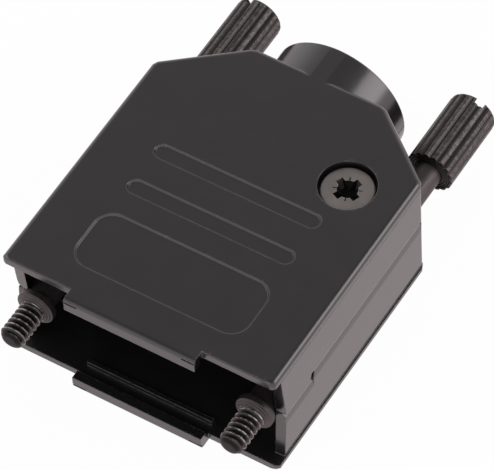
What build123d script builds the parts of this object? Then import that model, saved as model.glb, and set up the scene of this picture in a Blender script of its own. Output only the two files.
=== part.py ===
"""Cable hood for a 9-way D-sub connector, with captive thumbscrews and a strain relief.

X runs across the connector, Y from the connector to the cable, Z up. The origin lies on the
underside, below the middle of the overall length. Distances along the hood are counted from the
front edge of the two cover plates.
"""

import os
from math import radians, tan

from build123d import *

os.makedirs("parts", exist_ok=True)

# Connector that the hood takes (DE size)
screw_spacing = 24.99
flange_height = 12.55
flange_play = 0.25

# Outside of the closed hood
side_margin = 2.805
side_length = 27.8
corner_cut_x = 7.8
corner_cut_y = 6.3
corner_radius = 0.5
plate = 0.95
plate_rim = 0.12
plate_corner = 0.35
plate_round = 0.6
plate_front_bevel = 0.15
wall = 1.15
groove_depth = 0.1
groove_height = 0.4

# Lips that hook over the connector flange, and the ribs behind it
lip_inset = 7.9
lip_reach = 1.4
lip_round = 0.5
lip_thickness = 1.0
lip_height = 1.65
lip_nick_length = 1.5
lip_nick_height = 0.22
lip_nick_depth = 0.2
lip_nick_z = 0.52
flange_slot = 1.4
rib_inset = 0.2
rib_thickness = 0.45
rib_height = 1.5
wall_setback = 1.4
wall_draft = 0.6

# Parting line along the side walls, measured from mid height
seam_gap = 0.12
seam_front = -0.13
seam_rear = 0.89
seam_step_y = 6.3
seam_step_length = 0.5
seam_notch = 0.8
seam_chamfer = 0.45
seam_lean = 0.08
seam_lean_height = 1.2

# Shallow marks in both cover plates
mark_depth = 0.25
mark_taper = 35
finger_slot_inset = 0.35
finger_slot_width = 1.9
finger_slot_y = (13.6, 18.55)
label_inset = 5.5
label_width = 7.1
label_y = 6.45
label_radius = 2.1

# Cable outlet
outlet_radius = 7.4
outlet_wall = 1.9
outlet_reach = 3.95
outlet_round = 0.15

# Screws that hold the two halves together, M3 pan head
assembly_shaft_offset = 3.195
assembly_y = 23.9
assembly_radius = 1.5
assembly_clearance = 0.1
assembly_head_radius = 2.73
assembly_head_height = 1.9
assembly_head_round = 0.15
assembly_head_play = 0.25
assembly_sink = 0.62
assembly_engagement = 3.9
boss_radius = 3.0
boss_split_land = 0.15
boss_cup_wall = 0.85
boss_floor = 1.1

# Thumbscrews, 4-40 UNC, each one piece turned from bar
thread_radius = 1.42
thread_tip = -4.0
thread_chamfer = 0.5
shaft_radius = 1.4
shaft_play = 0.1
channel_play = 0.35
retainer_radius = 2.0
retainer_front = 0.7
retainer_thickness = 0.8
head_radius = 2.55
head_start = 34.0
head_length = 9.0
head_round = 0.45
head_bevel = 0.25
flute_count = 17
flute_width = 0.5
flute_depth = 0.22
flute_angle = 60
driver_slot_width = 1.0
driver_slot_depth = 0.8
left_slot_angle = 62
bulkhead_y = 6.9
bulkhead_thickness = 1.2
bulkhead_reach = 4.0

# Cross recess of the small screws
recess_arm = 0.8
recess_span = 3.1
recess_depth = 1.1
recess_taper = 8
assembly_cross_turn = -25

# Strain relief: two saddles drawn together by M2.5 screws
clamp_wall_play = 0.25
clamp_width = 3.4
clamp_thickness = 1.0
clamp_y = 29.5
clamp_gap = 4.0
clamp_screw_inset = 2.9
clamp_screw_radius = 1.25
clamp_screw_play = 0.15
clamp_screw_tail = 2.0
clamp_head_radius = 2.1
clamp_head_height = 1.6
clamp_head_play = 0.25
clamp_head_round = 0.25
clamp_pad_overlap = 0.65
clamp_pad_width = 2.4
clamp_pad_margin = 0.2

# Sizes that follow from the ones above
thickness = flange_height + flange_play + 2 * plate
mid = thickness / 2
screw_x = screw_spacing / 2
half_width = screw_x + side_margin
inner_half = half_width - wall
body_length = side_length + corner_cut_y
rear_half = half_width - corner_cut_x
plate_width = 2 * (half_width + plate_rim)
plate_length = body_length + plate_rim
half_gap = seam_gap / 2
wall_top = mid - half_gap
wall_blank = mid + 2 * seam_rear
lip_width = 2 * (half_width - lip_inset)
rib_width = lip_width - 2 * rib_inset
label_length = 2 * (half_width - label_inset)
finger_slot_length = label_length - 2 * finger_slot_inset
outlet_bore = outlet_radius - outlet_wall
assembly_x = screw_x - assembly_shaft_offset
boss_split = shaft_radius + channel_play + boss_split_land
seat_z = assembly_sink + assembly_head_height
assembly_tail = mid - boss_split - assembly_engagement + assembly_clearance
cup_radius = assembly_head_radius + assembly_head_play + boss_cup_wall
head_end = head_start + head_length
clamp_rear = clamp_y + clamp_width / 2
cut_wall = wall * (corner_cut_x**2 + corner_cut_y**2) ** 0.5 / corner_cut_y
clamp_space = half_width - corner_cut_x * (clamp_rear - side_length) / corner_cut_y - cut_wall
clamp_length = 2 * (clamp_space - clamp_wall_play)
clamp_screw_x = clamp_length / 2 - clamp_screw_inset
arch_foot = clamp_screw_x - clamp_head_radius - clamp_head_play
clamp_bore = (arch_foot**2 + (clamp_gap / 2 + clamp_thickness) ** 2) ** 0.5 - clamp_thickness
cable_axis = Axis((0, 0, mid), (0, 1, 0))
front_y = -(thread_tip + head_end) / 2
base = Plane((0, front_y, 0))


def across(y):
    """Plane across the hood at a distance from its front edge; its Y runs down from the cable axis."""
    return Plane(origin=(0, front_y + y, mid), x_dir=(1, 0, 0), z_dir=(0, 1, 0))


def beside(x):
    """Plane along the hood, upright, at a distance from its middle."""
    return Plane(origin=(x, front_y, 0), x_dir=(0, 1, 0), z_dir=(1, 0, 0))


# Plan of the walls, of the cover plate that stands proud of them, and of the space inside
with BuildSketch() as plan:
    with BuildLine():
        Polyline(
            (-half_width, 0),
            (half_width, 0),
            (half_width, side_length),
            (rear_half, body_length),
            (-rear_half, body_length),
            (-half_width, side_length),
            close=True,
        )
    make_face()

with BuildSketch() as outline:
    add(plan.sketch)
    fillet(outline.vertices(), corner_radius)

with BuildSketch() as plate_outline:
    offset(plan.sketch, plate_rim, kind=Kind.INTERSECTION)
    with Locations((0, plate_length / 2)):
        Rectangle(plate_width, plate_length, mode=Mode.INTERSECT)
    chamfer(plate_outline.vertices(), plate_corner)

with BuildSketch() as cavity_outline:
    offset(plan.sketch, -wall, kind=Kind.INTERSECTION)
    with Locations((0, wall)):
        Rectangle(2 * inner_half, 4 * wall)


# One casting serves as both halves. This is the half that lies below.
with BuildPart(base) as lower_shell:
    # Cover plate, rounded on all sides but the front, which has a fine bevel
    with BuildSketch(base):
        add(plate_outline.sketch)
    extrude(amount=plate)
    plate_edges = lower_shell.faces().sort_by(Axis.Z)[0].edges().sort_by(Axis.Y)
    fillet(plate_edges[1:], plate_round)
    front_edge = lower_shell.faces().sort_by(Axis.Z)[0].edges().sort_by(Axis.Y)[0]
    chamfer(front_edge, plate_front_bevel)

    # Walls, with a shallow groove between them and the plate's rim
    with BuildSketch(base.offset(plate)):
        add(outline.sketch)
    extrude(amount=wall_blank - plate)
    with BuildSketch(base.offset(plate)):
        add(outline.sketch)
        offset(outline.sketch, -groove_depth, kind=Kind.INTERSECTION, mode=Mode.SUBTRACT)
    extrude(amount=groove_height, mode=Mode.SUBTRACT)
    with BuildSketch(base.offset(plate)):
        add(cavity_outline.sketch)
    extrude(amount=wall_blank, mode=Mode.SUBTRACT)

    # The side walls stop behind the connector flange, and lean back towards mid height
    with BuildSketch(beside(0)):
        with BuildLine():
            Polyline(
                (-wall_setback, plate),
                (wall_setback, plate),
                (wall_setback + wall_draft, mid),
                (wall_setback + wall_draft, 2 * mid),
                (-wall_setback, 2 * mid),
                close=True,
            )
        make_face()
    extrude(amount=half_width, both=True, mode=Mode.SUBTRACT)

    # Half collar that the cable leaves through
    with BuildSketch(base.offset(mid)):
        with BuildLine():
            Polyline(
                (0, body_length - wall),
                (outlet_radius, body_length - wall),
                (outlet_radius, body_length + outlet_reach - outlet_round),
                (outlet_radius - outlet_round, body_length + outlet_reach),
                (0, body_length + outlet_reach),
                close=True,
            )
        make_face()
    revolve(axis=cable_axis, revolution_arc=180)
    with BuildSketch(across(body_length - 2 * wall)):
        Circle(outlet_bore)
    extrude(amount=outlet_reach + 3 * wall, mode=Mode.SUBTRACT)
    with Locations((0, body_length, -outlet_radius / 2)):
        Box(3 * outlet_radius, 4 * outlet_reach, outlet_radius, mode=Mode.SUBTRACT)

    # Bulkheads that keep the thumbscrews in, and pads that carry the cable clamp
    with BuildSketch(base.offset(plate)):
        with Locations(
            (inner_half - bulkhead_reach / 2, bulkhead_y),
            (-inner_half + bulkhead_reach / 2, bulkhead_y),
        ):
            Rectangle(bulkhead_reach + seam_gap, bulkhead_thickness)
    extrude(amount=mid - plate)

    pad_inner = clamp_length / 2 - clamp_pad_overlap
    clamp_face = mid - clamp_gap / 2 - clamp_thickness
    with BuildSketch(base.offset(plate)):
        with Locations(
            (pad_inner + clamp_pad_width / 2, clamp_y),
            (-pad_inner - clamp_pad_width / 2, clamp_y),
        ):
            Rectangle(clamp_pad_width, clamp_width - 2 * clamp_pad_margin)
    extrude(amount=clamp_face - plate)

    # Parting face: flat inside, stepped along each side wall
    with BuildSketch(base.offset(wall_top)):
        with Locations((0, body_length / 2)):
            Rectangle(2 * (inner_half - seam_gap), 2 * body_length)
    extrude(amount=mid, mode=Mode.SUBTRACT)
    for side, step_start in ((1, seam_step_y + seam_notch), (-1, seam_step_y)):
        with BuildSketch(beside(side * (inner_half - seam_gap))):
            with BuildLine():
                Polyline(
                    (-wall, 3 * mid),
                    (-wall, wall_top + side * seam_front),
                    (step_start, wall_top + side * seam_front),
                    (step_start + seam_step_length, wall_top + side * seam_rear),
                    (side_length, wall_top + side * seam_rear),
                    (side_length, wall_top),
                    (body_length, wall_top),
                    (body_length, 3 * mid),
                    close=True,
                )
            make_face()
        extrude(amount=side * 2 * wall, mode=Mode.SUBTRACT)

    # The right wall leans in below the seam and ends in a chamfer, so the other half overhangs it
    rise_start = seam_step_y + seam_notch
    for start, end, level in ((0, rise_start, seam_front), (rise_start, side_length, seam_rear)):
        edge = half_gap - level
        with BuildSketch(across(start)):
            with BuildLine():
                Polyline(
                    (half_width, edge + seam_lean_height),
                    (half_width - seam_lean, edge + seam_chamfer),
                    (half_width - seam_lean - seam_chamfer, edge),
                    (half_width - seam_lean - seam_chamfer, edge - wall),
                    (half_width + wall, edge - wall),
                    (half_width + wall, edge + seam_lean_height),
                    close=True,
                )
            make_face()
        extrude(amount=end - start, mode=Mode.SUBTRACT)

    # Lip in front of the flange, with a nick at each end, and the rib behind the flange
    with BuildSketch(beside(0)):
        with Locations((0, plate / 2)):
            Rectangle(2 * lip_reach, plate)
        with Locations((-lip_reach + lip_thickness / 2, lip_height / 2)):
            Rectangle(lip_thickness, lip_height)
        with Locations((0, 2 * plate)):
            RectangleRounded(2 * lip_reach, 4 * plate, lip_round, mode=Mode.INTERSECT)
    extrude(amount=lip_width / 2, both=True)
    with Locations(
        (lip_width / 2 - lip_nick_length / 2, -lip_reach, lip_nick_z),
        (-lip_width / 2 + lip_nick_length / 2, -lip_reach, lip_nick_z),
    ):
        Box(lip_nick_length, 2 * lip_nick_depth, lip_nick_height, mode=Mode.SUBTRACT)
    rib_front = flange_slot - lip_reach + lip_thickness
    with BuildSketch(base.offset(plate)):
        with Locations((0, rib_front + rib_thickness / 2)):
            Rectangle(rib_width, rib_thickness)
    extrude(amount=rib_height - plate)

    # Boss for the screw from this side, on the left, which reaches past mid height
    with BuildSketch(base.offset(plate)):
        with Locations((-assembly_x, assembly_y)):
            Circle(cup_radius)
    extrude(amount=seat_z + boss_floor - plate)
    with BuildSketch(base.offset(plate)):
        with Locations((-assembly_x, assembly_y)):
            Circle(boss_radius)
    extrude(amount=mid + boss_split - plate)
    with BuildSketch(base):
        with Locations((-assembly_x, assembly_y)):
            Circle(assembly_head_radius + assembly_head_play)
    extrude(amount=seat_z, mode=Mode.SUBTRACT)
    with BuildSketch(base):
        with Locations((-assembly_x, assembly_y)):
            Circle(assembly_radius + assembly_clearance)
    extrude(amount=thickness, mode=Mode.SUBTRACT)

    # Tapped boss for the screw from the other side, on the right, which stops short of mid height
    with BuildSketch(base.offset(plate)):
        with Locations((assembly_x, assembly_y)):
            Circle(boss_radius)
    extrude(amount=mid - boss_split - plate)
    with BuildSketch(base.offset(mid - boss_split)):
        with Locations((assembly_x, assembly_y)):
            Circle(assembly_radius)
    extrude(amount=-assembly_engagement, mode=Mode.SUBTRACT)

    # Bearings for the thumbscrews, and room for their shafts beside the long boss
    with BuildSketch(across(0)):
        with Locations((screw_x, 0), (-screw_x, 0)):
            Circle(shaft_radius + shaft_play)
    extrude(amount=body_length, mode=Mode.SUBTRACT)
    with BuildSketch(across(assembly_y - cup_radius)):
        with Locations((screw_x, 0), (-screw_x, 0)):
            Circle(shaft_radius + channel_play)
    extrude(amount=2 * cup_radius, mode=Mode.SUBTRACT)

    # Finger slots and label field
    with BuildSketch(base):
        with Locations(*[(0, y) for y in finger_slot_y]):
            SlotOverall(finger_slot_length, finger_slot_width)
        with Locations((0, label_y)):
            RectangleRounded(label_length, label_width, label_radius)
    extrude(amount=mark_depth, taper=mark_taper, mode=Mode.SUBTRACT)

lower_shell.part.label = "lower_shell"

with BuildPart() as upper_shell:
    add(lower_shell.part.rotate(cable_axis, 180))
upper_shell.part.label = "upper_shell"


# Thumbscrew, turned about its own axis, then fluted and slotted
with BuildPart(base) as thumbscrew_right:
    with BuildSketch(base.offset(mid)):
        with BuildLine():
            Polyline(
                (screw_x, thread_tip),
                (screw_x + thread_radius - thread_chamfer, thread_tip),
                (screw_x + thread_radius, thread_tip + thread_chamfer),
                (screw_x + thread_radius, retainer_front),
                (screw_x + retainer_radius, retainer_front),
                (screw_x + retainer_radius, retainer_front + retainer_thickness),
                (screw_x + shaft_radius, retainer_front + retainer_thickness),
                (screw_x + shaft_radius, head_start),
                (screw_x + head_radius - head_bevel, head_start),
                (screw_x + head_radius, head_start + head_bevel),
                (screw_x + head_radius, head_end - head_round),
                (screw_x + head_radius - head_round, head_end),
                (screw_x, head_end),
                close=True,
            )
        make_face()
    revolve(axis=Axis((screw_x, 0, mid), (0, 1, 0)))
    with BuildSketch(across(head_start - head_bevel)):
        with Locations((screw_x, 0)):
            with PolarLocations(head_radius, flute_count):
                flute_mouth = flute_width + 2 * flute_depth / tan(radians(flute_angle))
                Trapezoid(flute_mouth, 2 * flute_depth, flute_angle, rotation=90)
    extrude(amount=head_length + 2 * head_bevel, mode=Mode.SUBTRACT)
    with Locations((screw_x, head_end, mid)):
        Box(3 * head_radius, 2 * driver_slot_depth, driver_slot_width, mode=Mode.SUBTRACT)
thumbscrew_right.part.label = "thumbscrew_right"

with BuildPart() as thumbscrew_left:
    turned = thumbscrew_right.part.rotate(Axis((screw_x, 0, mid), (0, 1, 0)), left_slot_angle)
    add(turned.translate((-screw_spacing, 0, 0)))
thumbscrew_left.part.label = "thumbscrew_left"


# Assembly screw in the top face, and its twin from below
head_top = thickness - assembly_sink
with BuildPart(base) as assembly_screw_upper:
    with BuildSketch(base.offset(thickness - seat_z)):
        with Locations((assembly_x, assembly_y)):
            Circle(assembly_head_radius)
    extrude(amount=assembly_head_height)
    chamfer(assembly_screw_upper.edges().sort_by(Axis.Z)[-1], assembly_head_round)
    with BuildSketch(base.offset(thickness - seat_z)):
        with Locations((assembly_x, assembly_y)):
            Circle(assembly_radius)
    extrude(amount=assembly_tail - thickness + seat_z)
    with BuildSketch(base.offset(head_top)):
        with Locations((assembly_x, assembly_y)):
            Rectangle(recess_span, recess_arm, rotation=assembly_cross_turn)
            Rectangle(recess_arm, recess_span, rotation=assembly_cross_turn)
    extrude(amount=-recess_depth, taper=recess_taper, mode=Mode.SUBTRACT)
assembly_screw_upper.part.label = "assembly_screw_upper"

with BuildPart() as assembly_screw_lower:
    add(assembly_screw_upper.part.rotate(cable_axis, 180))
assembly_screw_lower.part.label = "assembly_screw_lower"


# Saddle of the strain relief: flat ears with an arch that takes the cable
ear_low = mid - clamp_gap / 2 - clamp_thickness
ear_high = mid - clamp_gap / 2
with BuildPart(base) as cable_clamp_lower:
    with BuildSketch(across(clamp_y)):
        with Locations((0, (clamp_gap + clamp_thickness) / 2)):
            Rectangle(clamp_length, clamp_thickness)
        Circle(clamp_bore + clamp_thickness)
        Circle(clamp_bore, mode=Mode.SUBTRACT)
        with Locations((0, clamp_gap / 2 - mid)):
            Rectangle(2 * clamp_length, 2 * mid, mode=Mode.SUBTRACT)
    extrude(amount=clamp_width / 2, both=True)
    with BuildSketch(base.offset(ear_high)):
        with Locations((clamp_screw_x, clamp_y), (-clamp_screw_x, clamp_y)):
            Circle(clamp_screw_radius)
    extrude(amount=-2 * clamp_thickness, mode=Mode.SUBTRACT)
cable_clamp_lower.part.label = "cable_clamp_lower"

with BuildPart() as cable_clamp_upper:
    add(cable_clamp_lower.part.rotate(cable_axis, 180))
    with BuildSketch(base.offset(mid)):
        with Locations((clamp_screw_x, clamp_y), (-clamp_screw_x, clamp_y)):
            Circle(clamp_screw_radius + clamp_screw_play)
    extrude(amount=mid, mode=Mode.SUBTRACT)
cable_clamp_upper.part.label = "cable_clamp_upper"

# Clamp screw, head down on the upper saddle and tail through the lower one
clamp_head_z = mid + clamp_gap / 2 + clamp_thickness
with BuildPart(base) as clamp_screw_right:
    with BuildSketch(base.offset(clamp_head_z)):
        with Locations((clamp_screw_x, clamp_y)):
            Circle(clamp_head_radius)
    extrude(amount=clamp_head_height)
    chamfer(clamp_screw_right.edges().sort_by(Axis.Z)[-1], clamp_head_round)
    with BuildSketch(base.offset(clamp_head_z)):
        with Locations((clamp_screw_x, clamp_y)):
            Circle(clamp_screw_radius)
    extrude(amount=ear_low - clamp_screw_tail + clamp_thickness - clamp_head_z)
    with BuildSketch(base.offset(clamp_head_z + clamp_head_height)):
        with Locations((clamp_screw_x, clamp_y)):
            Rectangle(0.75 * recess_span, recess_arm)
            Rectangle(recess_arm, 0.75 * recess_span)
    extrude(amount=-recess_depth / 1.4, taper=recess_taper, mode=Mode.SUBTRACT)
clamp_screw_right.part.label = "clamp_screw_right"

with BuildPart() as clamp_screw_left:
    add(clamp_screw_right.part.translate((-2 * clamp_screw_x, 0, 0)))
clamp_screw_left.part.label = "clamp_screw_left"


export_step(lower_shell.part, "parts/lower_shell.step")
export_step(upper_shell.part, "parts/upper_shell.step")
export_step(thumbscrew_left.part, "parts/thumbscrew_left.step")
export_step(thumbscrew_right.part, "parts/thumbscrew_right.step")
export_step(assembly_screw_upper.part, "parts/assembly_screw_upper.step")
export_step(assembly_screw_lower.part, "parts/assembly_screw_lower.step")
export_step(cable_clamp_lower.part, "parts/cable_clamp_lower.step")
export_step(cable_clamp_upper.part, "parts/cable_clamp_upper.step")
export_step(clamp_screw_left.part, "parts/clamp_screw_left.step")
export_step(clamp_screw_right.part, "parts/clamp_screw_right.step")
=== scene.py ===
"""Looks of the cable hood: painted castings, turned thumbscrews, small screws, cable saddles and stage.

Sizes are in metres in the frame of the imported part: X across the connector, Y from the connector to
the cable, Z up, with the origin on the underside below the middle of the overall length.
"""

import math

import bmesh
import bpy
from mathutils import Matrix, Vector


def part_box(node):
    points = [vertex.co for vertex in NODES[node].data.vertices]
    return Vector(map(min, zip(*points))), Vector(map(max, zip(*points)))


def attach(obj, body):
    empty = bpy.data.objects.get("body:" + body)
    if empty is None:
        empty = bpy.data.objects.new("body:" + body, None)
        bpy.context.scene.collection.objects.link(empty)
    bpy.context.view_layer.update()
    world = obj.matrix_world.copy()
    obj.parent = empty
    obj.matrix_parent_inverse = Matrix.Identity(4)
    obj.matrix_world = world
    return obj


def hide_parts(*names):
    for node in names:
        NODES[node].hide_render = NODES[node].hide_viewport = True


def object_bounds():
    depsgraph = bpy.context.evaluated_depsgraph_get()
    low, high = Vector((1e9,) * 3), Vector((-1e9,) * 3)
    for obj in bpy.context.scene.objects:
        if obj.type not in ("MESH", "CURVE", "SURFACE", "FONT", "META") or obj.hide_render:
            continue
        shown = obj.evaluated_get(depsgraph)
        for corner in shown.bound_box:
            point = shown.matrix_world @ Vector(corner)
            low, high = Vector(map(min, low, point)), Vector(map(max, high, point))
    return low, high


bl_info = {
    "name": "Cable hood",
    "version": (1, 0, 0),
    "blender": (4, 5, 0),
    "location": "View3D > Sidebar > Cable hood",
    "description": "Dresses a packed D-sub cable hood with its finishes, threads, knurls and stage",
    "category": "Object",
}

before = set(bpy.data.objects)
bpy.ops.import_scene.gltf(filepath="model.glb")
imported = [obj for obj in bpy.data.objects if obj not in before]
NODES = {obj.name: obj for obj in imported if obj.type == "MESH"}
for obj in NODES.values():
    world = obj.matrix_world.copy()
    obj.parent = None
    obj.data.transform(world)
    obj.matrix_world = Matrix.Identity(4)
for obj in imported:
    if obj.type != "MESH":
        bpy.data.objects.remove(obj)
CAD_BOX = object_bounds()
MM = 0.001

# Thumbscrews: how far each axis lies from the middle, their height, ends and radii, the length of the
# retaining collar, and the depth of the rings in the inner face of the head
SCREW_X = 0.012495
MIDDLE_Z = CAD_BOX[1][2] / 2
TIP_Y, HEAD_END_Y = (corner.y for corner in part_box("thumbscrew_right"))
CREST_RADIUS = 0.00137
SHAFT_RADIUS = 0.0014
HEAD_RADIUS = 0.00255
COLLAR_LENGTH = 0.0013
FACE_DEPTH = 0.00013

# Small screws: height and radius of the head, radius of the shank and pitch of the thread, the turn of the
# clamp screws' recess in degrees, bevel of the head, and which faces get painted shade or a painted highlight
ASSEMBLY_SCREW = (0.0019, 0.00273, 0.00148, 0.0005)
CLAMP_SCREW = (0.0016, 0.0021, 0.00123, 0.00045)
CLAMP_CROSS_TURN = 20
HEAD_BEVEL = 0.00013
RECESS_SHARE = 0.6
SCREW_FINISH, RECESS_PAINTED_SHADE, RIM_PAINTED_HIGHLIGHT = range(3)

# Meshes: sharpest bend that is shaded smooth, steps of a rounded corner, and how far cutters stand out
SMOOTH_ANGLE = math.radians(35)
ARC_STEPS = 4
CUTTER_RISE = 0.0002


# Node tree helpers


class Tree:
    """Adds nodes to a node tree and links them by name."""

    def __init__(self, tree):
        self.tree = tree

    def node(self, kind, values=None, **settings):
        made = self.tree.nodes.new(kind)
        for key, value in settings.items():
            setattr(made, key, value)
        for key, value in (values or {}).items():
            if isinstance(value, bpy.types.NodeSocket):
                self.tree.links.new(value, made.inputs[key])
            else:
                made.inputs[key].default_value = value
        return made

    def math(self, operation, a, b=0.0, clamp=False):
        made = self.node("ShaderNodeMath", {0: a, 1: b}, operation=operation)
        made.use_clamp = clamp
        return made.outputs[0]

    def ramp(self, value, stops):
        made = self.node("ShaderNodeValToRGB", {0: value})
        elements = made.color_ramp.elements
        while len(elements) < len(stops):
            elements.new(0.5)
        for element, (at, level) in zip(elements, stops):
            element.position = at
            element.color = (level, level, level, 1)
        return made.outputs["Color"]

    def mix(self, factor, a, b):
        made = self.node("ShaderNodeMix", {0: factor, 6: a, 7: b}, data_type="RGBA")
        return made.outputs[2]

    def between(self, factor, low, high):
        """A number that runs from low to high as the factor runs from 0 to 1."""
        made = self.node("ShaderNodeMapRange", {"Value": factor, "To Min": low, "To Max": high})
        return made.outputs[0]

    def rising(self, value, low, high):
        """0 up to the low value, 1 from the high one, and rising evenly between them."""
        made = self.node("ShaderNodeMapRange", {"Value": value, "From Min": low, "From Max": high})
        return made.outputs[0]

    def place(self):
        """Position on the piece in the frame's own metres, which every joint carries along."""
        return self.node("ShaderNodeTexCoord").outputs["Object"]

    def place_of_sky(self):
        """Direction of the surround, for the world alone."""
        return self.node("ShaderNodeTexCoord").outputs["Generated"]


def new_group(name, inputs, outputs):
    """A shader node group with named sockets. Returns its tree, helper, input node and output node."""
    tree = bpy.data.node_groups.new(name, "ShaderNodeTree")
    for label, kind, default in inputs:
        socket = tree.interface.new_socket(label, in_out="INPUT", socket_type=kind)
        socket.default_value = default
    for label, kind in outputs:
        tree.interface.new_socket(label, in_out="OUTPUT", socket_type=kind)
    helper = Tree(tree)
    return tree, helper, helper.node("NodeGroupInput"), helper.node("NodeGroupOutput")


def use_group(helper, name, values):
    return helper.node("ShaderNodeGroup", values, node_tree=bpy.data.node_groups[name])


def noise_node(helper, place, scale, detail=2.0):
    return helper.node("ShaderNodeTexNoise", {"Vector": place, "Scale": scale, "Detail": detail})


def shaded(colour, share):
    """A colour made darker or lighter, for the socket of a node."""
    return (*(min(1, c * share) for c in colour), 1)


def build_grain_group():
    """Fine pebbling of a sprayed or blasted surface, with broader cloudiness."""
    tree, helper, given, out = new_group(
        "surface_grain",
        [("Scale", "NodeSocketFloat", 4000.0), ("Cloud Scale", "NodeSocketFloat", 220.0)],
        [("Height", "NodeSocketFloat"), ("Cloud", "NodeSocketFloat"), ("Speck", "NodeSocketFloat")],
    )
    place = helper.place()
    fine = noise_node(helper, place, given.outputs["Scale"], detail=3.0)
    broad = noise_node(helper, place, given.outputs["Cloud Scale"])
    speck = helper.ramp(fine.outputs["Fac"], [(0.6, 0.0), (0.7, 1.0)])
    tree.links.new(fine.outputs["Fac"], out.inputs["Height"])
    tree.links.new(broad.outputs["Fac"], out.inputs["Cloud"])
    tree.links.new(speck, out.inputs["Speck"])


def build_edge_group():
    """Mask of outward edges, broken up by noise, where a finish is rubbed and where edges are lightened as
    painted highlights.
    """
    tree, helper, given, out = new_group(
        "edge_rub_and_highlight",
        [
            ("Amount", "NodeSocketFloat", 1.0),
            ("Width", "NodeSocketFloat", 0.00008),
            ("Break Scale", "NodeSocketFloat", 900.0),
        ],
        [("Mask", "NodeSocketFloat")],
    )
    surface = helper.node("ShaderNodeNewGeometry")
    rounding = helper.node("ShaderNodeBevel", {"Radius": given.outputs["Width"]}, samples=8)
    normals = {0: rounding.outputs[0], 1: surface.outputs["Normal"]}
    alike = helper.node("ShaderNodeVectorMath", normals, operation="DOT_PRODUCT")
    bend = helper.math("SUBTRACT", 1.0, alike.outputs["Value"])
    edge = helper.ramp(bend, [(0.01, 0.0), (0.12, 1.0)])
    outward = helper.ramp(surface.outputs["Pointiness"], [(0.485, 0.0), (0.5, 1.0)])
    noise = noise_node(helper, helper.place(), given.outputs["Break Scale"])
    broken = helper.ramp(noise.outputs["Fac"], [(0.4, 0.1), (0.58, 1.0)])
    mask = helper.math("MULTIPLY", helper.math("MULTIPLY", edge, outward), broken)
    mask = helper.math("MULTIPLY", mask, given.outputs["Amount"], clamp=True)
    tree.links.new(mask, out.inputs["Mask"])


def build_turning_group():
    """Fine rings that a lathe tool leaves, across an axis along Y."""
    tree, helper, given, out = new_group(
        "turning_rings",
        [("Pitch", "NodeSocketFloat", 0.00009)],
        [("Height", "NodeSocketFloat")],
    )
    split = helper.node("ShaderNodeSeparateXYZ", {0: helper.place()})
    turns = helper.math("DIVIDE", split.outputs["Y"], given.outputs["Pitch"])
    wave = helper.math("SINE", helper.math("MULTIPLY", turns, math.tau))
    noise = noise_node(helper, helper.place(), 2500.0)
    height = helper.math("ADD", helper.math("MULTIPLY", wave, 0.5), noise.outputs["Fac"])
    tree.links.new(height, out.inputs["Height"])


def build_groups():
    build_grain_group()
    build_edge_group()
    build_turning_group()


def new_material(name):
    """A material with one shader. Returns it with the helper of its tree and the shader."""
    made = bpy.data.materials.new(name)
    made.use_nodes = True
    made.node_tree.nodes.clear()
    helper = Tree(made.node_tree)
    out = helper.node("ShaderNodeOutputMaterial")
    shader = helper.node("ShaderNodeBsdfPrincipled")
    made.node_tree.links.new(shader.outputs[0], out.inputs["Surface"])
    return made, helper, shader


def soften(helper, shader, height, distance, strength, radius):
    """Rounds the edges of the facets a little and lays a bump over them."""
    edge = helper.node("ShaderNodeBevel", {"Radius": radius}, samples=6)
    bump = helper.node(
        "ShaderNodeBump",
        {"Height": height, "Distance": distance, "Strength": strength, "Normal": edge.outputs[0]},
    )
    helper.tree.links.new(bump.outputs[0], shader.inputs["Normal"])


def casting_paint(look):
    """Satin black paint on a zinc die casting, with edges rubbed a little and lightened by painted
    highlights, and painted glint dots near the edges.
    """
    made, helper, shader = new_material("casting_paint")
    link = helper.tree.links.new
    grain = use_group(helper, "surface_grain", {"Scale": 5200.0, "Cloud Scale": 330.0})
    rub_and_highlight = use_group(helper, "edge_rub_and_highlight", {"Amount": look.edge_rub_and_highlight, "Width": 0.00009, "Break Scale": 1400.0})
    # Broad mask near the edges, for dots of painted glint
    near = use_group(helper, "edge_rub_and_highlight", {"Amount": 1.0, "Width": 0.0009, "Break Scale": 600.0})
    paint = helper.mix(grain.outputs["Cloud"], shaded(look.paint, 0.8), shaded(look.paint, 1.25))
    painted_glint_dots = helper.math("MULTIPLY", near.outputs["Mask"], grain.outputs["Speck"])
    wear_and_painted_highlight = helper.math("MAXIMUM", rub_and_highlight.outputs["Mask"], helper.math("MULTIPLY", painted_glint_dots, look.edge_rub_and_highlight))
    # Edges and glint dots take the light colour: part rub, part painted highlight
    link(helper.mix(wear_and_painted_highlight, paint, shaded(look.paint_rub_and_highlight_colour, 1)), shader.inputs["Base Color"])
    smoothest, roughest = look.paint_roughness - 0.03, look.paint_roughness + 0.04
    link(helper.between(grain.outputs["Cloud"], smoothest, roughest), shader.inputs["Roughness"])
    shader.inputs["IOR"].default_value = 1.82
    shader.inputs["Specular Tint"].default_value = (1.0, 0.93, 0.95, 1)
    soften(helper, shader, grain.outputs["Height"], 0.000005, 0.35, 0.00014)
    return made


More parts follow.
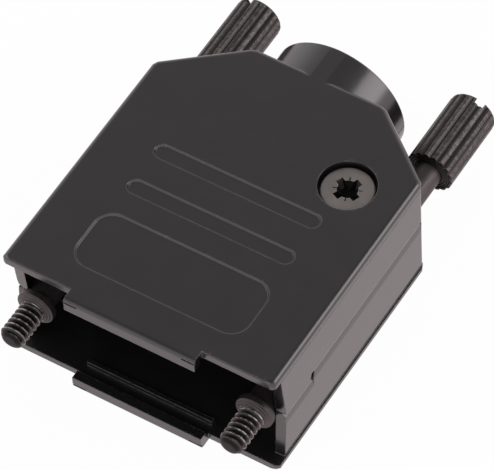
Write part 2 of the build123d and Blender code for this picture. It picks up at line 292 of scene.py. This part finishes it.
def turned_zones(helper, sizes):
    """Masks of a thumbscrew: thread, head and shaft, how far a point stands out, and where no shade is
    painted.
    """
    math_of = helper.math
    split = helper.node("ShaderNodeSeparateXYZ", {0: helper.place()})
    along = split.outputs["Y"]
    aside = math_of("SUBTRACT", math_of("ABSOLUTE", split.outputs["X"]), SCREW_X)
    above = math_of("SUBTRACT", split.outputs["Z"], MIDDLE_Z)
    square = math_of("ADD", math_of("MULTIPLY", aside, aside), math_of("MULTIPLY", above, above))
    radius = math_of("SQRT", square)

    on_thread = math_of("LESS_THAN", along, sizes.thread_end)
    on_head = math_of("GREATER_THAN", along, sizes.head_start + FACE_DEPTH)
    before_head = math_of("LESS_THAN", along, sizes.head_start - 0.00002)
    collar_and_shaft = math_of("MULTIPLY", before_head, math_of("SUBTRACT", 1.0, on_thread))
    past_collar = math_of("GREATER_THAN", along, sizes.thread_end + COLLAR_LENGTH)
    shaft = math_of("MULTIPLY", collar_and_shaft, past_collar)
    inner_face = math_of("SUBTRACT", math_of("SUBTRACT", 1.0, on_head), before_head)

    in_thread = helper.rising(radius, CREST_RADIUS - 0.00034, CREST_RADIUS - 0.00001)
    in_flute = helper.rising(radius, HEAD_RADIUS - 0.00033, HEAD_RADIUS - 0.00003)
    thread_rise = math_of("MULTIPLY", on_thread, in_thread)
    rise = math_of("MAXIMUM", thread_rise, math_of("MULTIPLY", on_head, in_flute))
    # The collar and shaft are left out of the painted shade; the head's inner face takes most of it
    plain = math_of("ADD", collar_and_shaft, math_of("MULTIPLY", inner_face, 0.3))
    out_of_painted_shade = helper.ramp(math_of("ADD", rise, plain), [(0.1, 0.0), (0.8, 1.0)])
    return on_thread, on_head, shaft, rise, out_of_painted_shade


def turned_steel(look, sizes):
    """Black oxide on turned steel: rings of the lathe tool, streaks along the knurled head, painted shade in
    the hollows and painted highlights on crests and edges.
    """
    made, helper, shader = new_material("turned_black_steel")
    link, math_of = helper.tree.links.new, helper.math
    grain = use_group(helper, "surface_grain", {"Scale": 3800.0, "Cloud Scale": 500.0})
    rings = use_group(helper, "turning_rings", {"Pitch": 0.00016})
    rub_and_highlight = use_group(helper, "edge_rub_and_highlight", {"Amount": look.steel_rub_and_highlight, "Width": 0.000045, "Break Scale": 1300.0})
    stretch = helper.node("ShaderNodeMapping", {"Vector": helper.place(), "Scale": (1, 0.05, 1)})
    streak = noise_node(helper, stretch.outputs[0], 9000.0).outputs["Fac"]
    on_thread, on_head, shaft, rise, out_of_painted_shade = turned_zones(helper, sizes)

    # Painted highlights with some rubbing on the crests, in patches, on the thread and faintly on the head
    crest_highlight = helper.ramp(rise, [(0.86, 0.0), (0.97, 1.0)])
    share = math_of("ADD", math_of("MULTIPLY", on_thread, 0.75), math_of("MULTIPLY", on_head, 0.1))
    wear = noise_node(helper, helper.place(), 2600.0)
    patchy = helper.ramp(wear.outputs["Fac"], [(0.43, 0.0), (0.62, 1.0)])
    crest_highlight = math_of("MULTIPLY", math_of("MULTIPLY", crest_highlight, share), patchy)

    # Oxide, with painted shade in the thread's roots, the flutes and the head's inner face, and lighter in
    # streaks on the shaft
    shade = math_of("MULTIPLY", math_of("ADD", grain.outputs["Cloud"], streak), 0.5)
    oxide = helper.mix(helper.between(shade, -0.4, 1.4), shaded(look.oxide, 0.6), shaded(look.oxide, 1.4))
    oxide = helper.mix(out_of_painted_shade, shaded(look.oxide, 0.16), oxide)
    oxide = helper.mix(math_of("MULTIPLY", shaft, streak), oxide, shaded(look.oxide, 1.7))
    wear_and_painted_highlight = math_of("MAXIMUM", rub_and_highlight.outputs["Mask"], crest_highlight)
    link(helper.mix(wear_and_painted_highlight, oxide, shaded(look.steel_rub_and_highlight_colour, 1)), shader.inputs["Base Color"])
    shader.inputs["Metallic"].default_value = 0.85
    link(helper.between(grain.outputs["Cloud"], 0.36, 0.5), shader.inputs["Roughness"])

    marks = helper.mix(on_head, rings.outputs["Height"], streak)
    height = math_of("ADD", math_of("MULTIPLY", marks, 0.8), grain.outputs["Height"])
    soften(helper, shader, height, 0.000006, 0.5, 0.00003)
    return made


def screw_steel(look, name, colour, metallic, roughness, rub_and_highlight_share, specular=0.5):
    """Steel of the small screws, or painted shade or painted highlight on them; rub and painted highlight on
    edges by a share.
    """
    made, helper, shader = new_material(name)
    link = helper.tree.links.new
    grain = use_group(helper, "surface_grain", {"Scale": 6000.0, "Cloud Scale": 700.0})
    rub_and_highlight = use_group(helper, "edge_rub_and_highlight", {"Amount": rub_and_highlight_share, "Width": 0.00012, "Break Scale": 1600.0})
    steel = helper.mix(grain.outputs["Cloud"], shaded(colour, 0.7), shaded(colour, 1))
    wear_and_painted_highlight = helper.mix(rub_and_highlight.outputs["Mask"], steel, shaded(look.steel_rub_and_highlight_colour, 1))
    link(wear_and_painted_highlight, shader.inputs["Base Color"])
    shader.inputs["Metallic"].default_value = metallic
    shader.inputs["Specular IOR Level"].default_value = specular
    rough = helper.between(grain.outputs["Cloud"], roughness - 0.06, roughness + 0.08)
    link(rough, shader.inputs["Roughness"])
    soften(helper, shader, grain.outputs["Height"], 0.000005, 0.5, 0.00006)
    return made


# Mesh helpers


def smooth_mesh(mesh):
    """Smooth shading that breaks at the mesh's own edges."""
    bm = bmesh.new()
    bm.from_mesh(mesh)
    bmesh.ops.remove_doubles(bm, verts=bm.verts, dist=1e-8)
    bmesh.ops.recalc_face_normals(bm, faces=bm.faces)
    for face in bm.faces:
        face.smooth = True
    for edge in bm.edges:
        edge.smooth = not (len(edge.link_faces) == 2 and edge.calc_face_angle(0) > SMOOTH_ANGLE)
    bm.to_mesh(mesh)
    bm.free()


def mesh_object(name, verts, faces):
    """An object with a smoothed mesh, in the scene."""
    mesh = bpy.data.meshes.new(name)
    mesh.from_pydata(verts, [], faces)
    mesh.validate()
    mesh.update()
    smooth_mesh(mesh)
    made = bpy.data.objects.new(name, mesh)
    bpy.context.scene.collection.objects.link(made)
    return made


def prism(name, outline, spot, top, bottom, shrink=1.0):
    """Closed body between two levels about a spot, drawn in towards its middle at the bottom."""
    count = len(outline)
    verts = [(spot[0] + x, spot[1] + y, top) for x, y in outline]
    verts += [(spot[0] + x * shrink, spot[1] + y * shrink, bottom) for x, y in outline]
    faces = [tuple(range(count)), tuple(range(2 * count - 1, count - 1, -1))]
    for i in range(count):
        k = (i + 1) % count
        faces.append((i, k, count + k, count + i))
    return mesh_object(name, verts, faces)


def cut(piece, cutters):
    """Takes closed bodies away from a piece, for slots and recesses."""
    for cutter in cutters:
        step = piece.modifiers.new(cutter.name, "BOOLEAN")
        step.operation = "DIFFERENCE"
        step.solver = "EXACT"
        step.object = cutter
    bpy.context.view_layer.update()
    before = piece.data
    after = bpy.data.meshes.new_from_object(piece.evaluated_get(bpy.context.evaluated_depsgraph_get()))
    piece.modifiers.clear()
    piece.data = after
    bpy.data.meshes.remove(before)
    for cutter in cutters:
        bpy.data.objects.remove(cutter)
    while after.materials:
        after.materials.pop()
    smooth_mesh(after)


def lathe(rings, count, radius_at, spot, axis):
    """Vertices and faces of a closed body turned about an axis. rings is a list of (along, r)."""
    verts, faces = [], []
    for along, r in rings:
        for i in range(count):
            angle = math.tau * i / count
            reach = radius_at(along, r, angle)
            a, b = spot[0] + reach * math.cos(angle), spot[1] + reach * math.sin(angle)
            verts.append((a, along, b) if axis == "Y" else (a, b, along))
    for j in range(len(rings) - 1):
        for i in range(count):
            k = (i + 1) % count
            faces.append((j * count + i, j * count + k, (j + 1) * count + k, (j + 1) * count + i))
    faces.append(tuple(range(count - 1, -1, -1)))
    last = (len(rings) - 1) * count
    faces.append(tuple(range(last, last + count)))
    return verts, faces


def rounded(points):
    """Profile points (along, r, fillet) with each corner replaced by a small arc."""
    out = []
    for n, (y, r, fillet) in enumerate(points):
        if fillet <= 0 or n in (0, len(points) - 1):
            out.append((y, r))
            continue
        here = Vector((y, r))
        before = Vector(points[n - 1][:2]) - here
        after = Vector(points[n + 1][:2]) - here
        reach = min(fillet, before.length * 0.45, after.length * 0.45)
        a, b = here + before.normalized() * reach, here + after.normalized() * reach
        for step in range(ARC_STEPS + 1):
            t = step / ARC_STEPS
            p = a * (1 - t) ** 2 + here * 2 * t * (1 - t) + b * t**2
            out.append((p.x, p.y))
    return out


def thread_depth(phase):
    """Depth of a 60 degree thread below its crest, as a share of its full depth, over one turn."""
    t = abs((phase % 1.0) - 0.5) * 2
    return min(1.0, max(0.0, (t - 0.14) / 0.66))


def spaced(start, end, step):
    """Places from start to end, evenly spaced by about one step."""
    count = max(1, round((end - start) / step))
    return [start + (end - start) * i / count for i in range(count + 1)]


def thumbscrew_piece(name, sizes, axis_x, turn):
    """Turned screw along Y: threaded end, stacked retaining collar, shaft and fluted head with its slot."""
    start, end, collar = sizes.head_start, HEAD_END_Y, sizes.thread_end
    tip_edge, end_edge, end_land = TIP_Y + 0.0006, end - 0.00045, 0.0005
    wide = sizes.collar_radius / MM

    rings = rounded([
        (TIP_Y, 0.0003, 0), (TIP_Y, 0.00075, 0.0003), (TIP_Y + 0.00025, 0.0012, 0.0002),
        (tip_edge, CREST_RADIUS, 0),
    ])
    rings += [(y, CREST_RADIUS) for y in spaced(tip_edge, collar, sizes.pitch / 14)[1:]]

    # Stacked steps of the collar, then the rings of the head's inner face, in millimetres: y, r, fillet
    steps = [
        (0.00, 1.30, 0), (0.02, 1.56, 0.05), (0.17, 1.62, 0.05), (0.19, 1.78, 0.05), (0.33, 1.84, 0.04),
        (0.37, wide, 0.1), (1.10, wide, 0.12), (1.28, 1.7, 0.05), (1.30, 1.4, 0.02),
    ]
    face = [
        (0.06, 1.42, 0), (0.0, 1.56, 0.04), (0.1, 1.68, 0.03), (0.01, 1.82, 0.04), (0.11, 1.94, 0.03),
        (0.03, 2.08, 0.04), (0.13, 2.18, 0.03), (0.04, 2.3, 0.02), (0.1, HEAD_RADIUS / MM, 0.02),
    ]
    rings += rounded([(collar + y * MM, r * MM, f * MM) for y, r, f in steps] + [(start, SHAFT_RADIUS, 0)])
    rings += rounded([(start + y * MM, r * MM, f * MM) for y, r, f in face] + [(end_edge, HEAD_RADIUS, 0)])
    rings += [(y, HEAD_RADIUS) for y in spaced(start + end_land, end - end_land, 0.001)]
    rings += rounded([
        (end_edge, HEAD_RADIUS, 0), (end - 0.0002, 0.00247, 0.0001), (end, 0.00214, 0.0001), (end, 0.0008, 0),
    ])

    # The rings of the fluted length come in several runs, so they are sorted between the two ends
    rings = [ring for n, ring in enumerate(rings) if ring not in rings[:n]]
    fluted = sorted(ring for ring in rings if ring[1] == HEAD_RADIUS)
    before = [ring for ring in rings if ring[0] < start + end_land and ring[1] != HEAD_RADIUS]
    after = [ring for ring in rings if ring[0] > end_edge - 0.00001 and ring[1] != HEAD_RADIUS]
    rings = before + fluted + after

    def radius_at(y, r, angle):
        if y < collar:
            fade = min(1.0, (collar - y) / (0.8 * sizes.pitch))
            depth = sizes.thread_depth * thread_depth(y / sizes.pitch + angle / math.tau)
            return min(r, CREST_RADIUS - depth * fade)
        if y > start and r > 0.002:
            part = (angle / math.tau * sizes.flutes) % 1.0
            off = min(part, 1 - part) / (5 / 16)
            return min(r, HEAD_RADIUS - sizes.flute_depth * max(0.0, 1 - off))
        return r

    verts, faces = lathe(rings, 16 * sizes.flutes, radius_at, (0, 0), "Y")
    piece = mesh_object(name, verts, faces)
    half, deep = sizes.slot_width / 2, sizes.slot_depth
    outline = [(-0.004, -half), (0.004, -half), (0.004, half), (-0.004, half)]
    cutter = prism(name + "_slot_cutter", outline, (0, 0), end + 0.001, end - deep)
    cutter.data.transform(Matrix(((1, 0, 0, 0), (0, 0, 1, 0), (0, 1, 0, 0), (0, 0, 0, 1))))
    smooth_mesh(cutter.data)
    cut(piece, [cutter])
    piece.data.transform(
        Matrix.Translation((axis_x, 0, MIDDLE_Z)) @ Matrix.Rotation(math.radians(turn), 4, "Y")
    )
    return piece


def middle_of(low, high):
    """Middle of a box, seen from above."""
    return (low.x + high.x) / 2, (low.y + high.y) / 2


def arm_axes(degrees):
    """Unit vectors along and across an arm of the cross that points at an angle."""
    ahead = Vector((math.cos(math.radians(degrees)), math.sin(math.radians(degrees))))
    return ahead, Vector((-ahead.y, ahead.x))


def machine_screw(name, low, high, sizes, turn):
    """Pan-head screw from the top of a box to its bottom, with a cut thread, a cross recess and its ticks."""
    head_height, head_radius, shank, pitch = sizes
    spot, tail, top = middle_of(low, high), low.z, high.z
    under = top - head_height
    neck = under - 0.0002
    rings = rounded([(tail, shank * 0.3, 0), (tail, shank - 0.0003, 0.00004), (tail + 0.0003, shank, 0)])
    rings += [(z, shank) for z in spaced(tail + 0.0003, neck, pitch / 10)[1:]]
    outline = [
        (neck, shank, 0), (under, shank, 0), (under, head_radius, 0.00006),
        (top - HEAD_BEVEL, head_radius, 0.00001), (top, head_radius - HEAD_BEVEL, 0.00001),
        (top, head_radius * 0.8, 0),
    ]
    rings += rounded(outline)[1:]

    def radius_at(z, r, angle):
        if z < under - 0.0001:
            fade = min(1.0, (under - 0.0001 - z) / pitch)
            return min(r, shank - 0.6 * pitch * thread_depth(z / pitch - angle / math.tau) * fade)
        return r

    verts, faces = lathe(rings, 72, radius_at, spot, "Z")
    piece = mesh_object(name, verts, faces)
    above = top + CUTTER_RISE
    reach, inner, wide = head_radius * 0.57, head_radius * 0.17, head_radius * 0.155
    arms = []
    for quarter in range(4):
        ahead, across = arm_axes(turn + 90 * quarter)
        arms += [ahead * inner - across * inner, ahead * reach - across * wide, ahead * reach + across * wide]
    cutters = [prism(name + "_cross_cutter", arms, spot, above, top - head_height * 0.62, 0.72)]
    well = [arm_axes(15 * i)[0] * head_radius * 0.43 for i in range(24)]
    cutters.append(prism(name + "_well_cutter", well, spot, above, top - head_height * 0.66, 0.4))
    near, far, half = head_radius * 0.4, head_radius * 0.54, head_radius * 0.025
    for quarter in range(4):
        ahead, across = arm_axes(turn + 45 + 90 * quarter)
        tick = [
            ahead * near - across * half, ahead * far - across * half,
            ahead * far + across * half, ahead * near + across * half,
        ]
        cutters.append(prism(f"{name}_tick_cutter_{quarter}", tick, spot, above, top - 0.0001))
    cut(piece, cutters)

    def off_axis(point):
        return math.hypot(point.x - spot[0], point.y - spot[1])

    # The recess gets painted shade, but for the far ends of its arms, and the bevel of the head a painted
    # highlight
    for face in piece.data.polygons:
        points = [piece.data.vertices[v].co for v in face.vertices]
        inside = all(p.z < top - 0.00004 or off_axis(p) < head_radius * RECESS_SHARE for p in points)
        sunk = min(p.z for p in points) < top - 0.00006
        out = off_axis(face.center)
        arm_end = out > reach * 0.8 and abs(face.normal.z) < 0.5
        recess = inside and sunk and out < head_radius * RECESS_SHARE and not arm_end
        # Faces of the head's bevel get a painted highlight
        rim_highlight = out > head_radius - HEAD_BEVEL and face.center.z > top - HEAD_BEVEL and face.normal.z > 0.3
        if rim_highlight:
            face.material_index = RIM_PAINTED_HIGHLIGHT
        elif recess and face.center.z > under:
            face.material_index = RECESS_PAINTED_SHADE
        else:
            face.material_index = SCREW_FINISH
    return piece


def dress(piece, node, body, slot, *finishes):
    """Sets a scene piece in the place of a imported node."""
    for finish in finishes:
        piece.data.materials.append(finish)
    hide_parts(node)
    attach(piece, body)


def finish_node(name, finish):
    """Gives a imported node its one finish."""
    NODES[name].data.materials.clear()
    NODES[name].data.materials.append(finish)


class HoodLook(bpy.types.PropertyGroup):
    paint: bpy.props.FloatVectorProperty(
        name="Paint", description="Colour of the painted castings", subtype="COLOR", size=3,
        default=(0.0075, 0.0072, 0.0079), min=0, max=1,
    )
    # Light colour of rubbed edges and of painted highlights and glints on the castings
    paint_rub_and_highlight_colour: bpy.props.FloatVectorProperty(
        name="Rubbed paint", description="Colour of the castings' edges", subtype="COLOR", size=3,
        default=(0.2, 0.19, 0.19), min=0, max=1,
    )
    paint_roughness: bpy.props.FloatProperty(
        name="Paint roughness", description="Roughness of the castings", default=0.21, min=0.05, max=1,
    )
    # Share of rub and painted highlight on the castings' edges
    edge_rub_and_highlight: bpy.props.FloatProperty(
        name="Edge rub", description="How strongly the castings' edges are rubbed", default=0.45,
        min=0, max=1,
    )
    # Share of rub and painted highlight on the steel's edges
    steel_rub_and_highlight: bpy.props.FloatProperty(
        name="Steel rub", description="How strongly the screws' edges are rubbed", default=0.85,
        min=0, max=1,
    )
    oxide: bpy.props.FloatVectorProperty(
        name="Black oxide", description="Colour of the thumbscrews", subtype="COLOR", size=3,
        default=(0.075, 0.063, 0.064), min=0, max=1,
    )
    # Light colour of rubbed steel and of painted highlights on crests, edges and rims
    steel_rub_and_highlight_colour: bpy.props.FloatVectorProperty(
        name="Rubbed steel", description="Colour of the steel's edges", subtype="COLOR", size=3,
        default=(0.6, 0.56, 0.54), min=0, max=1,
    )
    cross_turn: bpy.props.FloatProperty(
        name="Cross turn", description="How far the assembly screws' recess is turned, in degrees",
        default=-25,
    )
    screw: bpy.props.FloatVectorProperty(
        name="Screw steel", description="Colour of the assembly screws", subtype="COLOR", size=3,
        default=(0.34, 0.305, 0.285), min=0, max=1,
    )
    zinc: bpy.props.FloatVectorProperty(
        name="Zinc plate", description="Colour of the cable saddles and their screws", subtype="COLOR",
        size=3, default=(0.5, 0.5, 0.52), min=0, max=1,
    )


class ThumbscrewSizes(bpy.types.PropertyGroup):
    pitch: bpy.props.FloatProperty(
        name="Thread pitch", description="Distance from one turn of the thread to the next",
        default=0.000635, unit="LENGTH", precision=6,
    )
    thread_depth: bpy.props.FloatProperty(
        name="Thread depth", description="Depth of the thread", default=0.00037, unit="LENGTH", precision=6,
    )
    thread_end: bpy.props.FloatProperty(
        name="Thread end", description="Where the thread meets the retaining collar", default=-0.0193,
        unit="LENGTH", precision=6,
    )
    flutes: bpy.props.IntProperty(name="Flutes", description="Flutes round the head", default=17, min=3)
    flute_depth: bpy.props.FloatProperty(
        name="Flute depth", description="Depth of the flutes", default=0.00022, unit="LENGTH", precision=6,
    )
    collar_radius: bpy.props.FloatProperty(
        name="Collar radius", description="Radius of the retaining collar", default=0.00205, unit="LENGTH",
        precision=6,
    )
    head_start: bpy.props.FloatProperty(
        name="Head start", description="Where the knurled head begins along Y", default=0.0145,
        unit="LENGTH", precision=6,
    )
    slot_width: bpy.props.FloatProperty(
        name="Slot width", description="Width of the screwdriver slot", default=0.001, unit="LENGTH",
        precision=6,
    )
    slot_depth: bpy.props.FloatProperty(
        name="Slot depth", description="Depth of the screwdriver slot", default=0.0008, unit="LENGTH",
        precision=6,
    )


class StageSettings(bpy.types.PropertyGroup):
    surround: bpy.props.FloatProperty(
        name="Surround", description="Brightness of the white surround", default=0.7, min=0, max=2,
    )
    overhead: bpy.props.FloatProperty(
        name="Overhead", description="How bright the studio's ceiling looks in glossy surfaces", default=0.28,
        min=0, max=0.8,
    )
    focal: bpy.props.FloatProperty(
        name="Focal length", description="Focal length of the camera in millimetres", default=353.4535, min=1,
    )


class HOOD_OT_castings(bpy.types.Operator):
    """Paint the two half shells"""

    bl_idname = "hood.castings"
    bl_label = "Castings"

    def execute(self, context):
        paint = casting_paint(context.scene.hood_look)
        for name in ("lower_shell", "upper_shell"):
            finish_node(name, paint)
        return {"FINISHED"}


class HOOD_OT_thumbscrews(bpy.types.Operator):
    """Turn the two captive thumbscrews, with their threads, collars and flutes"""

    bl_idname = "hood.thumbscrews"
    bl_label = "Thumbscrews"

    def execute(self, context):
        sizes = context.scene.hood_thumbscrew
        steel = turned_steel(context.scene.hood_look, sizes)
        for side, axis_x, turn in (("left", -SCREW_X, 62), ("right", SCREW_X, -67)):
            piece = thumbscrew_piece(f"turned_thumbscrew_{side}", sizes, axis_x, turn)
            dress(piece, f"thumbscrew_{side}", f"{side}_thumbscrew", "thumbscrew", steel)
        return {"FINISHED"}


class HOOD_OT_small_screws(bpy.types.Operator):
    """Make the assembly screws and clamp screws, and finish the cable saddles"""

    bl_idname = "hood.small_screws"
    bl_label = "Screws and saddles"

    def execute(self, context):
        look = context.scene.hood_look
        steel = screw_steel(look, "assembly_screw_steel", look.screw, 0.9, 0.34, look.steel_rub_and_highlight)
        zinc = screw_steel(look, "zinc_plated_steel", look.zinc, 1.0, 0.32, look.steel_rub_and_highlight)
        # Near-black painted shade for the screws' recesses, and a light painted highlight for the bevel of
        # their heads
        recess_shade_colour = tuple(c * 0.02 for c in look.screw)
        recess_shade = screw_steel(look, "painted_shade_recess_steel", recess_shade_colour, 0.1, 0.6, 0.0, specular=0.1)
        rim_highlight = screw_steel(look, "painted_highlight_rim_steel", tuple(look.steel_rub_and_highlight_colour), 0.9, 0.32, 0.0)
        for name in ("cable_clamp_lower", "cable_clamp_upper"):
            finish_node(name, zinc)
        low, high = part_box("assembly_screw_upper")
        upper = machine_screw("pan_head_screw_upper", low, high, ASSEMBLY_SCREW, look.cross_turn)
        lower = bpy.data.objects.new("pan_head_screw_lower", upper.data.copy())
        context.scene.collection.objects.link(lower)
        lower.data.transform(
            Matrix.Translation((0, 0, 2 * MIDDLE_Z)) @ Matrix.Rotation(math.pi, 4, "Y")
        )
        dress(upper, "assembly_screw_upper", "housing", "screw", steel, recess_shade, rim_highlight)
        dress(lower, "assembly_screw_lower", "housing", "screw", steel, recess_shade, rim_highlight)
        for side in ("left", "right"):
            low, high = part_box(f"clamp_screw_{side}")
            piece = machine_screw(f"saddle_screw_{side}", low, high, CLAMP_SCREW, CLAMP_CROSS_TURN)
            dress(piece, f"clamp_screw_{side}", "housing", "clamp_screw", zinc, recess_shade, rim_highlight)
        return {"FINISHED"}


def choose(helper, factor, first, second):
    """Shader that is the first at 0 and the second at 1."""
    made = helper.node("ShaderNodeMixShader", {0: factor})
    helper.tree.links.new(first.outputs[0], made.inputs[1])
    helper.tree.links.new(second.outputs[0], made.inputs[2])
    return made


def make_surround(settings):
    """White for the camera, a darker ceiling in glossy surfaces, and even light for the rest."""
    world = bpy.data.worlds.new("white_surround")
    world.use_nodes = True
    world.node_tree.nodes.clear()
    helper = Tree(world.node_tree)
    out = helper.node("ShaderNodeOutputWorld")
    path = helper.node("ShaderNodeLightPath")
    plain = helper.node("ShaderNodeBackground", {"Color": (1, 1, 1, 1), "Strength": settings.surround})
    white = helper.node("ShaderNodeBackground", {"Color": (1, 1, 1, 1), "Strength": 1.0})
    way = helper.node("ShaderNodeSeparateXYZ", {0: helper.place_of_sky()})
    levels = [(0.3, 1.0), (0.72, settings.overhead + 0.22), (0.86, settings.overhead)]
    sky = helper.ramp(way.outputs["Z"], levels)
    mirrored = helper.node("ShaderNodeBackground", {"Color": sky, "Strength": 1.0})
    unseen = choose(helper, path.outputs["Is Glossy Ray"], plain, mirrored)
    seen = helper.math("MAXIMUM", path.outputs["Is Camera Ray"], path.outputs["Is Transmission Ray"])
    pick = choose(helper, seen, unseen, white)
    helper.tree.links.new(pick.outputs[0], out.inputs["Surface"])
    return world


def make_floor():
    """Floor that looks white, a little warm in glossy surfaces, and takes a faint shadow."""
    corners = [(-2, -2, 0), (2, -2, 0), (2, 2, 0), (-2, 2, 0)]
    floor = mesh_object("pale_floor", corners, [(0, 1, 2, 3)])
    floor.location.z = -0.00002
    finish, helper, shader = new_material("pale_floor")
    shader.inputs["Base Color"].default_value = (0.82, 0.82, 0.82, 1)
    shader.inputs["Roughness"].default_value = 0.9
    path = helper.node("ShaderNodeLightPath")
    tint = helper.mix(path.outputs["Is Glossy Ray"], (1, 1, 1, 1), (1, 0.915, 0.93, 1))
    glow = helper.node("ShaderNodeEmission", {"Color": tint, "Strength": 1.0})
    seen = helper.math("MAXIMUM", path.outputs["Is Camera Ray"], path.outputs["Is Glossy Ray"])
    seen = helper.math("MAXIMUM", seen, path.outputs["Is Transmission Ray"])
    pick = choose(helper, helper.math("MULTIPLY", seen, 0.97), shader, glow)
    out = next(n for n in finish.node_tree.nodes if n.type == "OUTPUT_MATERIAL")
    helper.tree.links.new(pick.outputs[0], out.inputs["Surface"])
    floor.data.materials.append(finish)
    return floor


def make_lamp(name, at, wide, high, power):
    """Soft lamp that faces the middle of the hood."""
    data = bpy.data.lights.new(name, "AREA")
    data.shape = "RECTANGLE"
    data.size, data.size_y = wide, high
    data.energy = power
    lamp = bpy.data.objects.new(name, data)
    lamp.location = at
    lamp.rotation_euler = (Vector((0, 0, 0.007)) - Vector(at)).to_track_quat("-Z", "Y").to_euler()
    bpy.context.scene.collection.objects.link(lamp)


def make_camera(focal):
    """Camera that stands where the photo was taken from."""
    data = bpy.data.cameras.new("photo_camera")
    data.sensor_width = 36
    data.lens = focal
    data.clip_start = 0.01
    data.clip_end = 20
    camera = bpy.data.objects.new("photo_camera", data)
    camera.location = (0.162609, -0.236357, 0.389690)
    camera.rotation_euler = [math.radians(a) for a in (36.6914, 2.30506, 31.41904)]
    bpy.context.scene.collection.objects.link(camera)
    return camera


class HOOD_OT_stage(bpy.types.Operator):
    """Make the floor, the light and the camera"""

    bl_idname = "hood.stage"
    bl_label = "Stage"

    def execute(self, context):
        settings = context.scene.hood_stage
        scene = context.scene
        scene.view_settings.view_transform = "Standard"
        scene.world = make_surround(settings)
        floor = make_floor()
        make_lamp("soft_lamp_left", (-0.5, -0.15, 0.4), 0.35, 0.35, 0.4)
        make_lamp("soft_lamp_front", (0.12, -0.45, 0.42), 0.5, 0.14, 0.7)
        make_lamp("soft_lamp_back", (0.44, 0.3, 0.3), 0.34, 0.34, 0.8)
        scene.camera = make_camera(settings.focal)
        return {"FINISHED"}


class HOOD_PT_panel(bpy.types.Panel):
    """Steps that dress the cable hood"""

    bl_idname = "HOOD_PT_panel"
    bl_label = "Cable hood"
    bl_space_type = "VIEW_3D"
    bl_region_type = "UI"
    bl_category = "Cable hood"

    def draw(self, context):
        for operator in STEPS:
            self.layout.operator(operator.bl_idname)
        for group in ("hood_look", "hood_thumbscrew", "hood_stage"):
            for key in getattr(context.scene, group).__annotations__:
                self.layout.prop(getattr(context.scene, group), key)


STEPS = (HOOD_OT_castings, HOOD_OT_thumbscrews, HOOD_OT_small_screws, HOOD_OT_stage)
SETTINGS = (("hood_look", HoodLook), ("hood_thumbscrew", ThumbscrewSizes), ("hood_stage", StageSettings))


def register():
    for name, group in SETTINGS:
        bpy.utils.register_class(group)
        setattr(bpy.types.Scene, name, bpy.props.PointerProperty(type=group))
    for made in (*STEPS, HOOD_PT_panel):
        bpy.utils.register_class(made)


def unregister():
    for made in (HOOD_PT_panel, *reversed(STEPS)):
        bpy.utils.unregister_class(made)
    for name, group in reversed(SETTINGS):
        delattr(bpy.types.Scene, name)
        bpy.utils.unregister_class(group)


def main():
    register()
    build_groups()
    for step in STEPS:
        area, name = step.bl_idname.split(".")
        getattr(getattr(bpy.ops, area), name)()


if __name__ == "__main__":
    main()
